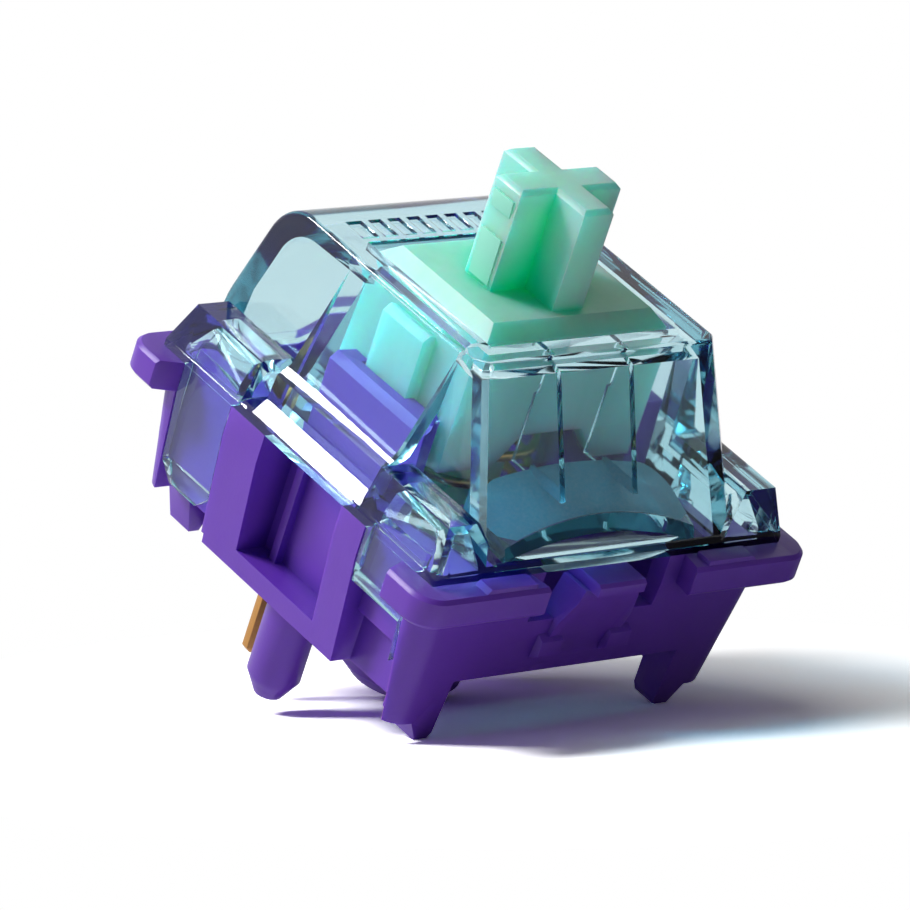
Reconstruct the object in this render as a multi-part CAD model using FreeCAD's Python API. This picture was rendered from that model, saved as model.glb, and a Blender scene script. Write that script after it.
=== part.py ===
import FreeCAD, Part
import math
import os

# Keyboard switch with a clear upper housing, for plate and board mounting.
# Millimetres. Z is the key's travel, z = 0 the board's face, and the centre post's axis is x = y = 0.
# The lamp side of the switch is -Y, the contact side +Y.

V = FreeCAD.Vector
os.makedirs("parts", exist_ok=True)

# Cutting blocks run this far out, past every face
CLEAR = 9

# Stroke and running clearances
TRAVEL = 4.0
STOP_GAP = 0.10
SLIDE_GAP = 0.10
FIT_GAP = 0.05
CONTACT_REST_GAP = 0.45
CONTACT_SHUT_GAP = 0.02
CAM_GAP = 0.04

# Lower housing, outside
PLATE_SEAT_Z = 5.0
FLANGE_SIDE = 15.6
FLANGE_THICK = 1.0
FLANGE_CORNER_R = 0.9
FLANGE_EDGE = 0.12
FLANGE_SIDE_SOUTH = 1.95
FLANGE_SIDE_NORTH = 1.6
FLANGE_END_X = 3.1
PAD_LENGTH = 2.3
PAD_RISE = 0.15
PAD_DEPTH = 0.6
BODY_SIDE = 13.9
BODY_TAPER = 0.10
BODY_CORNER_R = 0.9
SIDE_SKIRT_Z = 1.2
LAMP_SKIRT_Z = 2.2
FOOT_INNER_X = 4.5
FOOT_SOLE = 0.4
FOOT_SLOPE = 0.45
FOOT_EDGE_X = 0.15
FOOT_EDGE_Z = 0.3
FOOT_DEPTH = 1.0
FOOT_HEEL_SOUTH_Z = 0.75
FOOT_HEEL_NORTH_Z = 1.5

# Lower housing, inside
FLOOR_TOP_Z = 1.4
FLOOR_THICK = 1.2
LAMP_WALL = 0.65
WELL_WALL = 0.65
WELL_SOUTH_GAP = 0.35
GUIDE_THICK = 1.0
GUIDE_TOP_Z = 8.6
GUIDE_NORTH_Y = 2.2
GUIDE_HEAD_GAP = 0.15
GUIDE_GAP = 0.25
CHAMBER_HALF_X = 4.4
CHAMBER_WALL = 0.7
LAMP_SLOT_HALF_X = 4.3
SIDE_WINDOW_SOUTH_Y = -2.4
SIDE_WINDOW_NORTH_Y = 1.6
SIDE_WINDOW_SILL = 0.7
SIDE_WINDOW_BACK_X = 5.5
SIDE_RIB = 0.3

# Centre post, spring well and fixing pins
POST_R = 2.0
POST_LENGTH = 2.4
POST_TIP = 0.5
COLLAR_WALL = 0.5
COLLAR_HEIGHT = 2.0
PIN_R = 0.85
PIN_PITCH = 5.08
PIN_LENGTH = 2.4
PIN_TIP_R = 0.45
PIN_TIP_LENGTH = 0.7
PIN_RELIEF = 0.6

# Plate tongue on the lamp side and on the contact side
TONGUE_HEAD_WIDTH = 1.85
TONGUE_FOOT_WIDTH = 2.9
TONGUE_SLOT_WIDTH = 5.0
TONGUE_SLOT_Z = 4.2
TONGUE_REACH = 0.85
TONGUE_NECK = 0.45
TONGUE_HEAD = 0.4
TONGUE_DROP = 0.15
TONGUE_EDGE = 0.1
TONGUE_SHOULDER = 0.15
TONGUE_ROOT_Z = 3.0
NUB_X = 0.95
NUB_WIDTH = 0.85
NUB_Z = 2.75
NUB_HEIGHT = 1.0
NUB_REACH = 0.25

# Upper housing
HOOD_HEIGHT = 5.6
HOOD_BASE_SIDE = 13.9
HOOD_WALL = 0.65
HOOD_ROOF = 0.8
RIM_SOUTH_Y = -3.9
RIM_NORTH_Y = 5.9
NORTH_KNEE_Y = 6.85
NORTH_KNEE_DROP = 3.4
RIM_HALF_X = 4.8
HOOD_FOOT_HALF_X = 5.25
HOOD_SOUTH_EDGE = 0.35
HOOD_NORTH_R = 1.6
HOOD_EDGE_R = 0.18
BASE_LIP = 0.4
BASE_CORNER_R = 0.6
BLOCK_HEIGHT = 1.7
BLOCK_TOP_HALF = 6.55
BLOCK_FOOT = 0.24
BLOCK_LAMP_DRAFT = 0.1
BLOCK_INNER_Y = 3.05
BLOCK_END_X = 5.35
BLOCK_END_FOOT_X = 4.3
CHEEK_SOUTH_Y = -3.05
CHEEK_NORTH_Y = 2.4
CHEEK_END_WALL = 0.45
CHEEK_TOP_DROP = 0.3
CHEEK_TOP_BACK = 0.02
CHEEK_SLOPE_REACH = 1.05
CHEEK_SLOPE_DROP = 0.25
# How far each corner of the stepped cheek stands back from the base's edge, and its height
CHEEK_STEPS = [(0, 0.35), (0.42, 0.78), (0.52, 1.6), (0.95, 1.95)]
OPENING_GAP = 0.18
LABEL_DEPTH = 0.12
LABEL_MARGIN = 0.25
LABEL_RIBS = 9

# Light lens moulded into the upper housing
LENS_HALF_X = 3.8
LENS_REACH_Y = -3.85
LENS_CORNER_R = 1.0
LENS_FRONT_HEIGHT = 1.0
LENS_BACK_HEIGHT = 1.7
LENS_CROWN_R = 16.0
LENS_TUNNEL_HALF_X = 3.3
LENS_TUNNEL_HEIGHT = 0.5

# Two upright ribs inside the lamp face, between the roof and the lens
RIB_X = 1.45
RIB_THICK = 0.2
RIB_GAP = 0.25
RIB_ROOT = 0.3

# Snap legs of the upper housing
LEG_THICK = 0.72
LEG_WIDTH = 2.45
LEG_CENTRE_NORTH = 4.6
LEG_CENTRE_SOUTH = -4.85
LEG_LENGTH_NORTH = 3.95
LEG_LENGTH_SOUTH = 3.65
LEG_CORNER_R = 0.55
BARB_REACH = 0.3
BARB_HEIGHT = 0.6

# Stem
STEM_X = 7.2
STEM_Y = 5.5
STEM_TOP_Z = 11.9
STEM_EDGE = 0.45
STEM_ROOF = 1.5
SKIRT_BOTTOM_Z = 7.0
SKIRT_WALL = 0.7
NOTCH_FOOT_HALF_X = 2.1
NOTCH_TOP_HALF_X = 1.2
NOTCH_HEIGHT = 1.1
CROSS_SPAN = 4.0
CROSS_HEIGHT = 3.4
CROSS_X_THICK = 1.2
CROSS_Y_THICK = 1.25
CROSS_EDGE = 0.15
POLE_R = 0.95
POLE_TIP_Z = 2.6
POLE_TIP = 0.3
RAIL_REACH = 0.5
RAIL_WIDTH = 2.0
CAM_X = 1.9
CAM_WIDTH = 0.8
CAM_BOTTOM_Z = 6.5
CAM_TOP_Z = 10.4
CAM_RAMP = 0.8
CAM_TOE = 0.5

# Spring
SPRING_MEAN_R = 1.8
SPRING_WIRE = 0.32
SPRING_TURNS = 9

# Contacts
SHEET = 0.25
CONTACT_PIN_WIDTH = 0.6
CONTACT_PIN_LENGTH = 2.65
CONTACT_PIN_TIP = 0.35
FIXED_PIN_X = -3.81
FIXED_PIN_Y = 2.54
FIXED_PLATE_Y = 3.3
FIXED_STRAP_HEIGHT = 0.8
FIXED_TONGUE_WIDTH = 2.6
FIXED_TONGUE_TOP_Z = 6.6
SEAT_BAR = 0.35
SEAT_BAR_HALF_X = 1.0
SEAT_BAR_HEIGHT = 0.8
MOVING_PIN_X = 2.54
MOVING_PIN_Y = 5.08
MOVING_BAND_WIDTH = 8.4
MOVING_BAND_HEIGHT = 1.9
MOVING_BACK_WIDTH = 5.2
MOVING_BACK_TOP_Z = 5.2
LEAF_THICK = 0.12
LEAF_ROOT_Z = 1.6
LEAF_KNEE_Z = 2.6
LEAF_FORK_Z = 4.2
LEAF_TONGUE_WIDTH = 1.6
LEAF_TONGUE_TOP_Z = 6.35
LEAF_FINGER_TOP_Z = 7.1
LEAF_FINGER_BEND = 0.45
POINT_Z = 5.9
POINT_SIZE = 0.15
POINT_LONG = 0.9
POINT_SHORT = 0.2

# Levels and half sizes that follow from the sizes above
PARTING_Z = PLATE_SEAT_Z + FLANGE_THICK
HOOD_TOP_Z = PARTING_Z + HOOD_HEIGHT
ROOF_UNDER_Z = HOOD_TOP_Z - HOOD_ROOF
FLANGE_HALF = FLANGE_SIDE / 2
BODY_HALF = BODY_SIDE / 2
BASE_HALF = HOOD_BASE_SIDE / 2
STEM_HALF_X = STEM_X / 2
STEM_HALF_Y = STEM_Y / 2
STEM_UNDER_Z = STEM_TOP_Z - STEM_ROOF
RAIL_TOP_Z = ROOF_UNDER_Z - STOP_GAP
GUIDE_INNER_X = STEM_HALF_X + GUIDE_GAP
GUIDE_OUTER_X = GUIDE_INNER_X + GUIDE_THICK
WELL_R = POLE_R + SLIDE_GAP
COLLAR_R = WELL_R + COLLAR_WALL
LEG_OUTER_X = BODY_HALF - FIT_GAP / 2
POCKET_X = LEG_OUTER_X - LEG_THICK - FIT_GAP
LEGS = [(LEG_CENTRE_NORTH, PARTING_Z - LEG_LENGTH_NORTH), (LEG_CENTRE_SOUTH, PARTING_Z - LEG_LENGTH_SOUTH)]
WELL_SOUTH_Y = -STEM_HALF_Y - WELL_SOUTH_GAP
CHAMBER_NORTH_Y = BODY_HALF - CHAMBER_WALL
GUIDE_HEAD_SOUTH_Y = CHEEK_SOUTH_Y + CHEEK_END_WALL + GUIDE_HEAD_GAP
GUIDE_HEAD_NORTH_Y = CHEEK_NORTH_Y - CHEEK_END_WALL - GUIDE_HEAD_GAP
LEAF_AXIS_Y = MOVING_PIN_Y - SHEET / 2 - FIT_GAP - LEAF_THICK / 2
FIXED_FACE_Y = FIXED_PLATE_Y + SHEET
LEAF_REST_Y = FIXED_FACE_Y + 2 * POINT_SIZE + CONTACT_REST_GAP + LEAF_THICK / 2
LEAF_SWING = (CONTACT_REST_GAP - CONTACT_SHUT_GAP) / (POINT_Z - LEAF_ROOT_Z)
FINGER_Y = LEAF_REST_Y - LEAF_FINGER_BEND * 0.6


def block(x0, x1, y0, y1, z0, z1):
    return Part.makeBox(x1 - x0, y1 - y0, z1 - z0, V(x0, y0, z0))


def prism(points, axis, start, end):
    """A closed outline in the plane across an axis, swept from start to end along that axis."""
    lay = {
        "x": lambda a, b: V(start, a, b),
        "y": lambda a, b: V(a, start, b),
        "z": lambda a, b: V(a, b, start),
    }[axis]
    run = {"x": V(end - start, 0, 0), "y": V(0, end - start, 0), "z": V(0, 0, end - start)}[axis]
    corners = [lay(a, b) for a, b in points]
    return Part.Face(Part.makePolygon(corners + corners[:1])).extrude(run)


def rod(r, x, y, z0, z1):
    return Part.makeCylinder(r, z1 - z0, V(x, y, z0))


def fuse(shapes):
    return shapes[0].multiFuse(shapes[1:]).removeSplitter()


def both_x(shape):
    return [shape, shape.mirror(V(0, 0, 0), V(1, 0, 0))]


def edges_at(shape, test):
    """Edges whose two ends and middle all pass the test."""
    found = []
    for edge in shape.Edges:
        middle = edge.valueAt((edge.FirstParameter + edge.LastParameter) / 2)
        spots = [vertex.Point for vertex in edge.Vertexes] + [middle]
        if all(test(spot) for spot in spots):
            found.append(edge)
    return found


def near(a, b):
    return abs(a - b) < 1e-4


def upright_edges(shape, half):
    """The four corner edges of a square block of this half width."""
    return edges_at(shape, lambda p: near(abs(p.x), half) and near(abs(p.y), half))


# Lower housing


def body_half_at(z):
    return BODY_HALF - BODY_TAPER * max(0.0, PLATE_SEAT_Z - z)


def rounded_square(half, corner_r, z):
    """A square outline with round corners, lying flat at a height."""
    solid = block(-half, half, -half, half, z - 1, z + 1)
    return solid.makeFillet(corner_r, upright_edges(solid, half)).slice(V(0, 0, 1), z)[0]


def tapered_body():
    """The square body under the plate, drawn in towards the board."""
    low = rounded_square(body_half_at(0), BODY_CORNER_R, 0)
    high = rounded_square(BODY_HALF, BODY_CORNER_R, PLATE_SEAT_Z)
    body = Part.makeLoft([low, high], True, True)
    collar = block(-BODY_HALF, BODY_HALF, -BODY_HALF, BODY_HALF, PLATE_SEAT_Z, PARTING_Z)
    collar = collar.makeFillet(BODY_CORNER_R, upright_edges(collar, BODY_HALF))
    return fuse([body, collar])


def flange():
    """The square rim that rests on the plate, open along both sides and beside each tongue."""
    rim = block(-FLANGE_HALF, FLANGE_HALF, -FLANGE_HALF, FLANGE_HALF, PLATE_SEAT_Z, PARTING_Z)
    rim = rim.makeFillet(FLANGE_CORNER_R, upright_edges(rim, FLANGE_HALF))
    rims = edges_at(rim, lambda p: near(p.z, PARTING_Z) or near(p.z, PLATE_SEAT_Z))
    rim = rim.makeChamfer(FLANGE_EDGE, rims)
    low_y = FLANGE_SIDE_SOUTH - FLANGE_HALF
    high_y = FLANGE_HALF - FLANGE_SIDE_NORTH
    slope = FLANGE_EDGE * 3
    out = FLANGE_HALF + 1
    gaps = []
    for sign in (-1, 1):
        side = [(sign * BODY_HALF, low_y + slope), (sign * BODY_HALF, high_y - slope)]
        side += [(sign * out, high_y + slope), (sign * out, low_y - slope)]
        gaps.append(prism(side, "z", PLATE_SEAT_Z - 1, PARTING_Z + 1))
        front = [(-FLANGE_END_X, sign * BODY_HALF), (FLANGE_END_X, sign * BODY_HALF)]
        front += [(FLANGE_END_X - slope, sign * out), (slope - FLANGE_END_X, sign * out)]
        gaps.append(prism(front, "z", PLATE_SEAT_Z - 1, PARTING_Z + 1))
    rim = rim.cut(Part.makeCompound(gaps))
    pads = []
    for sign in (-1, 1):
        outer = sign * (FLANGE_HALF - FLANGE_EDGE)
        inner = sign * (FLANGE_HALF - FLANGE_EDGE - PAD_DEPTH)
        start = FLANGE_END_X + slope
        end = FLANGE_END_X + PAD_LENGTH
        top = PARTING_Z + PAD_RISE
        outline = [(start, PARTING_Z), (start, top), (end - PAD_RISE, top), (end, PARTING_Z)]
        pads += both_x(prism(outline, "y", min(inner, outer), max(inner, outer)))
    return fuse([rim] + pads)


def foot(sign_y, heel):
    """One corner foot: a raised heel at the corner, a short sole that meets the board."""
    sole = FOOT_INNER_X + FOOT_EDGE_X
    top = LAMP_SKIRT_Z + 1
    outline = [(FOOT_INNER_X, top), (FOOT_INNER_X, FOOT_EDGE_Z), (sole, 0), (sole + FOOT_SOLE, 0)]
    outline += [(sole + FOOT_SOLE + FOOT_SLOPE, heel), (BODY_HALF, heel), (BODY_HALF, top)]
    face = sign_y * BODY_HALF
    back = sign_y * (body_half_at(0) - FOOT_DEPTH)
    return prism(outline, "y", min(face, back), max(face, back))


def tongue(sign_y):
    """The plate tongue: a springy finger in the end wall whose head stands out over the plate."""
    inner = BODY_HALF - LAMP_WALL
    out = BODY_HALF + TONGUE_REACH
    top = PARTING_Z - TONGUE_DROP
    head_low = top - TONGUE_HEAD
    lip = BASE_HALF + SLIDE_GAP
    neck = BODY_HALF + TONGUE_NECK
    side = [(inner, TONGUE_ROOT_Z), (body_half_at(TONGUE_ROOT_Z), TONGUE_ROOT_Z)]
    side += [(neck, head_low - TONGUE_HEAD), (neck, head_low), (out, head_low)]
    side += [(out, top - TONGUE_EDGE), (out - TONGUE_EDGE, top), (lip, top), (inner, top)]
    head = TONGUE_HEAD_WIDTH / 2
    foot_x = TONGUE_FOOT_WIDTH / 2
    shoulder = head + TONGUE_SHOULDER
    front = [(-foot_x, TONGUE_ROOT_Z), (-foot_x, TONGUE_SLOT_Z), (-shoulder, head_low)]
    front += [(-head, head_low), (-head, top), (head, top), (head, head_low)]
    front += [(shoulder, head_low), (foot_x, TONGUE_SLOT_Z), (foot_x, TONGUE_ROOT_Z)]
    finger = prism([(sign_y * y, z) for y, z in side], "x", -foot_x, foot_x)
    reach = sorted((sign_y * inner, sign_y * FLANGE_HALF * 1.1))
    return finger.common(prism(front, "y", reach[0], reach[1]))


def nub(sign_y):
    """One of the two small raised pads at a tongue's root that steady the plate's edge."""
    high = NUB_Z + NUB_HEIGHT
    base = body_half_at(NUB_Z) - 0.1
    front = body_half_at(high) + NUB_REACH
    side = [(base, NUB_Z), (body_half_at(NUB_Z), NUB_Z), (front, NUB_Z + NUB_REACH)]
    side += [(front, high - NUB_REACH), (base, high)]
    return prism([(sign_y * y, z) for y, z in side], "x", NUB_X, NUB_X + NUB_WIDTH)


def guide():
    """One inner guide wall for the stem. Its head rises into the side hood of the upper housing."""
    inner = GUIDE_INNER_X
    wall = block(inner, SIDE_WINDOW_BACK_X, WELL_SOUTH_Y, GUIDE_NORTH_Y, FLOOR_TOP_Z, PARTING_Z)
    head = block(inner, GUIDE_OUTER_X, GUIDE_HEAD_SOUTH_Y, GUIDE_HEAD_NORTH_Y, FLOOR_TOP_Z, GUIDE_TOP_Z)
    top = edges_at(head, lambda p: near(p.z, GUIDE_TOP_Z) and near(p.x, GUIDE_OUTER_X))
    head = head.makeChamfer(GUIDE_THICK / 4, top)
    rib_y = SIDE_WINDOW_NORTH_Y - 3 * SIDE_RIB
    back = SIDE_WINDOW_BACK_X
    rib = block(back - SIDE_RIB, back + SIDE_RIB, rib_y, rib_y + SIDE_RIB, FLOOR_TOP_Z, PARTING_Z)
    return fuse([wall, head, rib])


def rail_groove():
    """The groove in a guide wall that the stem's rail runs in."""
    half = RAIL_WIDTH / 2 + SLIDE_GAP
    outer = STEM_HALF_X + RAIL_REACH + SLIDE_GAP
    low = SKIRT_BOTTOM_Z - TRAVEL - 2 * STOP_GAP
    return block(STEM_HALF_X, outer, -half, half, low, GUIDE_TOP_Z + 1)


def seat_bars():
    """Low bars on the floor that hold the two contact plates upright from either side."""
    bars = []
    half = SEAT_BAR_HALF_X
    low = FLOOR_TOP_Z - FIT_GAP
    top = FLOOR_TOP_Z + SEAT_BAR_HEIGHT
    bars.append((0, FIXED_PLATE_Y - FIT_GAP - SEAT_BAR, FIXED_PLATE_Y - FIT_GAP))
    bars.append((0, FIXED_FACE_Y + FIT_GAP, FIXED_FACE_Y + FIT_GAP + SEAT_BAR))
    back = MOVING_PIN_Y + SHEET / 2 + FIT_GAP
    bars.append((CHAMBER_HALF_X - 2 * half, back, CHAMBER_NORTH_Y))
    bars.append((2 * half - CHAMBER_HALF_X, back, CHAMBER_NORTH_Y))
    return [block(x - half, x + half, y0, y1, low, top) for x, y0, y1 in bars]


def centre_post():
    post = rod(POST_R, 0, 0, -POST_LENGTH, FLOOR_TOP_Z)
    tip = edges_at(post, lambda p: near(p.z, -POST_LENGTH))
    return post.makeChamfer(POST_TIP, tip)


def fixing_pin():
    straight = rod(PIN_R, PIN_PITCH, 0, PIN_TIP_LENGTH - PIN_LENGTH, FLOOR_TOP_Z)
    tip = Part.makeCone(PIN_TIP_R, PIN_R, PIN_TIP_LENGTH, V(PIN_PITCH, 0, -PIN_LENGTH))
    return straight.fuse(tip)


def pin_slot(x, y):
    half_x = CONTACT_PIN_WIDTH / 2 + FIT_GAP
    half_y = SHEET / 2 + FIT_GAP
    return block(x - half_x, x + half_x, y - half_y, y + half_y, -1, FLOOR_TOP_Z + 0.5)


def bottom_housing():
    body = fuse([tapered_body(), flange()])
    low = FLOOR_TOP_Z - FLOOR_THICK
    under = block(-CLEAR, CLEAR, -CLEAR, CLEAR, -1, SIDE_SKIRT_Z)
    well_back = WELL_SOUTH_Y - WELL_WALL
    kept_floor = block(-FOOT_INNER_X, FOOT_INNER_X, well_back, body_half_at(0), low, SIDE_SKIRT_Z)
    feet = both_x(foot(-1, FOOT_HEEL_SOUTH_Z)) + both_x(foot(1, FOOT_HEEL_NORTH_Z))
    under = under.cut(Part.makeCompound([kept_floor]))
    for one in feet:
        under = under.cut(one)
    lamp_relief = block(-FOOT_INNER_X, FOOT_INNER_X, -CLEAR, well_back, -1, LAMP_SKIRT_Z)
    reliefs = both_x(rod(PIN_R + PIN_RELIEF, PIN_PITCH, 0, -1, SIDE_SKIRT_Z))
    corner = block(FOOT_INNER_X, CLEAR, SIDE_WINDOW_NORTH_Y * 2, CLEAR, -1, FOOT_HEEL_NORTH_Z)
    corners = [one.cut(Part.makeCompound(feet)) for one in both_x(corner)]
    body = body.cut(Part.makeCompound([under, lamp_relief] + reliefs + corners))

    hollows = []
    hollows.append(block(-GUIDE_INNER_X, GUIDE_INNER_X, WELL_SOUTH_Y, GUIDE_NORTH_Y, FLOOR_TOP_Z, CLEAR))
    hollows.append(block(-CHAMBER_HALF_X, CHAMBER_HALF_X, GUIDE_NORTH_Y, CHAMBER_NORTH_Y, FLOOR_TOP_Z, CLEAR))
    lamp_inner = LAMP_WALL - BODY_HALF
    hollows.append(block(-LAMP_SLOT_HALF_X, LAMP_SLOT_HALF_X, lamp_inner, well_back, -1, CLEAR))
    side_sill = SIDE_SKIRT_Z + SIDE_WINDOW_SILL
    window = block(SIDE_WINDOW_BACK_X, CLEAR, SIDE_WINDOW_SOUTH_Y, SIDE_WINDOW_NORTH_Y, side_sill, CLEAR)
    hollows += both_x(window)
    for centre, leg_bottom in LEGS:
        half = LEG_WIDTH / 2 + FIT_GAP
        barb_top = leg_bottom + BARB_HEIGHT
        pocket = block(POCKET_X, BODY_HALF, centre - half, centre + half, -1, CLEAR)
        catch_x = POCKET_X - BARB_REACH - FIT_GAP
        catch = block(catch_x, BODY_HALF, centre - half, centre + half, -1, barb_top + FIT_GAP)
        hollows += both_x(pocket) + both_x(catch)
    slot = TONGUE_SLOT_WIDTH / 2
    for sign in (-1, 1):
        ends = sorted((sign * (BODY_HALF - LAMP_WALL), sign * CLEAR))
        hollows.append(block(-slot, slot, ends[0], ends[1], TONGUE_SLOT_Z, CLEAR))
    body = body.cut(Part.makeCompound(hollows))

    parts = [body, tongue(-1), tongue(1), centre_post()] + seat_bars()
    parts += both_x(nub(-1)) + both_x(nub(1)) + both_x(guide()) + both_x(fixing_pin())
    parts.append(rod(COLLAR_R, 0, 0, FLOOR_TOP_Z, FLOOR_TOP_Z + COLLAR_HEIGHT))
    housing = fuse(parts)
    well_bottom = POLE_TIP_Z - TRAVEL - STOP_GAP
    bores = [rod(WELL_R, 0, 0, well_bottom, FLOOR_TOP_Z + COLLAR_HEIGHT + 1)]
    bores += [pin_slot(FIXED_PIN_X, FIXED_PIN_Y), pin_slot(MOVING_PIN_X, MOVING_PIN_Y)]
    bores += both_x(rail_groove())
    return housing.cut(Part.makeCompound(bores))


# Upper housing


def hood_shape(inset, roof):
    """The tapered hood: two side views intersected. Inset and roof thin it for the hollow."""
    top = HOOD_TOP_Z - roof
    slope = (RIM_SOUTH_Y + BASE_HALF) / HOOD_HEIGHT
    south_low = inset * math.sqrt(1 + slope ** 2) - BASE_HALF
    south_high = south_low + slope * (top - PARTING_Z)
    knee_z = HOOD_TOP_Z - NORTH_KNEE_DROP
    lean = (NORTH_KNEE_Y - RIM_NORTH_Y) / NORTH_KNEE_DROP
    end_view = [(south_low, PARTING_Z), (south_high, top), (RIM_NORTH_Y + lean * roof - inset, top)]
    end_view += [(NORTH_KNEE_Y - inset, knee_z), (BASE_HALF - inset, PARTING_Z)]
    draft = (HOOD_FOOT_HALF_X - RIM_HALF_X) / HOOD_HEIGHT
    high_x = RIM_HALF_X + draft * roof - inset
    low_x = HOOD_FOOT_HALF_X - inset
    front_view = [(-low_x, PARTING_Z), (-high_x, top), (high_x, top), (low_x, PARTING_Z)]
    hood = prism(end_view, "x", -CLEAR, CLEAR).common(prism(front_view, "y", -CLEAR, CLEAR))
    north = edges_at(hood, lambda p: near(p.z, top) and p.y > RIM_NORTH_Y - inset - 0.5)
    return hood.makeFillet(HOOD_NORTH_R - inset / 2, north)


def hood_outside():
    hood = hood_shape(0, 0)

    def on_south_corner(p):
        slope = (RIM_SOUTH_Y + BASE_HALF) / HOOD_HEIGHT
        y = -BASE_HALF + slope * (p.z - PARTING_Z)
        x = HOOD_FOOT_HALF_X - (HOOD_FOOT_HALF_X - RIM_HALF_X) / HOOD_HEIGHT * (p.z - PARTING_Z)
        return near(p.y, y) and near(abs(p.x), x)

    hood = hood.makeChamfer(HOOD_SOUTH_EDGE, edges_at(hood, on_south_corner))
    rim = edges_at(hood, lambda p: near(p.z, HOOD_TOP_Z))
    return hood.makeFillet(HOOD_EDGE_R, rim)


def corner_block(inset):
    """The low block at a corner of the base, above a snap leg."""
    top = PARTING_Z + BLOCK_HEIGHT - inset
    base = BASE_HALF - inset
    high = BLOCK_TOP_HALF - inset
    inner_x = BLOCK_END_FOOT_X + inset
    foot_z = PARTING_Z + BLOCK_FOOT
    side = [(base, PARTING_Z), (base, foot_z), (high, top), (inner_x, top), (inner_x, PARTING_Z)]
    y0 = BLOCK_INNER_Y + inset
    south = prism(side, "y", -BASE_HALF + inset, -y0)
    lamp_y = BLOCK_LAMP_DRAFT - high
    end = [(-base, PARTING_Z), (-base, foot_z), (lamp_y, top), (-y0, top), (-y0, PARTING_Z)]
    south = south.common(prism(end, "x", 0, CLEAR))
    front = [(base, PARTING_Z), (base, top), (BLOCK_END_X, top), (BLOCK_END_FOOT_X + inset, PARTING_Z)]
    return south.common(prism(front, "y", -CLEAR, 0))


def cheek(inset):
    """The sloping side hood over a guide wall, stepped where it meets the base."""
    reach = inset * CHEEK_SLOPE_REACH
    drop = inset * CHEEK_SLOPE_DROP
    outline = [(BASE_HALF - reach, PARTING_Z)]
    for step, (back, rise) in enumerate(CHEEK_STEPS):
        outline.append((BASE_HALF - back - reach, PARTING_Z + rise - (drop if step > 1 else 0)))
    high = HOOD_TOP_Z - CHEEK_TOP_DROP - drop
    outline.append((RIM_HALF_X - CHEEK_TOP_BACK - reach, high))
    inner_x = RIM_HALF_X - HOOD_WALL - inset
    outline += [(inner_x, high), (inner_x, PARTING_Z)]
    end = CHEEK_END_WALL if inset else 0
    return prism(outline, "y", CHEEK_SOUTH_Y + end, CHEEK_NORTH_Y - end)


def base_slab():
    slab = block(-BASE_HALF, BASE_HALF, -BASE_HALF, BASE_HALF, PARTING_Z, PARTING_Z + BASE_LIP)
    slab = slab.makeFillet(BASE_CORNER_R, upright_edges(slab, BASE_HALF))
    top = edges_at(slab, lambda p: near(p.z, PARTING_Z + BASE_LIP))
    return slab.makeChamfer(BASE_LIP / 3, top)


def four_ways(shape):
    return both_x(shape) + both_x(shape.mirror(V(0, 0, 0), V(0, 1, 0)))


def light_lens():
    """The light lens behind the lamp face: a crowned wedge that falls towards the face, and the
    shallow arched tunnel over the lamp that is cut from below it."""
    slope = (RIM_SOUTH_Y + BASE_HALF) / HOOD_HEIGHT
    wall_y = HOOD_WALL * math.sqrt(1 + slope ** 2) - BASE_HALF
    front = V(0, wall_y + slope * LENS_FRONT_HEIGHT, PARTING_Z + LENS_FRONT_HEIGHT)
    back = V(0, LENS_REACH_Y, PARTING_Z + LENS_BACK_HEIGHT)
    along = (back - front).normalize()
    down = V(0, along.z, -along.y)
    axis_start = front + down * LENS_CROWN_R - along * BASE_HALF
    crown = Part.makeCylinder(LENS_CROWN_R, 2 * BASE_HALF, axis_start, along)
    lens = block(-LENS_HALF_X, LENS_HALF_X, -BASE_HALF, LENS_REACH_Y, PARTING_Z, ROOF_UNDER_Z)
    corners = edges_at(lens, lambda p: near(p.y, LENS_REACH_Y) and near(abs(p.x), LENS_HALF_X))
    lens = lens.makeFillet(LENS_CORNER_R, corners)
    lens = lens.common(crown).common(hood_shape(HOOD_WALL / 3, HOOD_ROOF / 2))
    tunnel_r = (LENS_TUNNEL_HALF_X ** 2 + LENS_TUNNEL_HEIGHT ** 2) / (2 * LENS_TUNNEL_HEIGHT)
    tunnel_start = V(0, wall_y + slope * LENS_TUNNEL_HEIGHT, PARTING_Z + LENS_TUNNEL_HEIGHT - tunnel_r)
    tunnel = Part.makeCylinder(tunnel_r, BASE_HALF, tunnel_start, V(0, 1, 0))
    return lens, tunnel


def face_rib():
    """One upright rib from the roof down to the lens, standing in from the lamp face."""
    low = PARTING_Z + LENS_BACK_HEIGHT - RIB_ROOT
    half = RIB_THICK / 2
    rib = block(RIB_X - half, RIB_X + half, -BASE_HALF, -STEM_HALF_Y - RIB_GAP, low, HOOD_TOP_Z)
    return rib.common(hood_shape(HOOD_WALL / 3, HOOD_ROOF / 2))


def snap_leg(centre, bottom):
    """A clip leg with an inward barb that snaps under the lower housing's catch."""
    lean = BODY_TAPER * (PLATE_SEAT_Z - bottom)
    barb_top = bottom + BARB_HEIGHT
    top = PARTING_Z + BASE_LIP
    outer = LEG_OUTER_X
    inner = outer - LEG_THICK
    side = [(inner, top), (outer, top), (outer, PLATE_SEAT_Z), (outer - lean, bottom), (inner + 0.1, bottom)]
    side += [(inner - BARB_REACH, barb_top - 0.15), (inner - BARB_REACH, barb_top), (inner, barb_top)]
    half = LEG_WIDTH / 2
    toe = half - LEG_CORNER_R
    heel = bottom + LEG_CORNER_R
    end = [(centre - half, top), (centre - half, heel), (centre - toe, bottom), (centre + toe, bottom)]
    end += [(centre + half, heel), (centre + half, top)]
    return prism(side, "y", centre - half, centre + half).common(prism(end, "x", 0, FLANGE_HALF))


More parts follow.
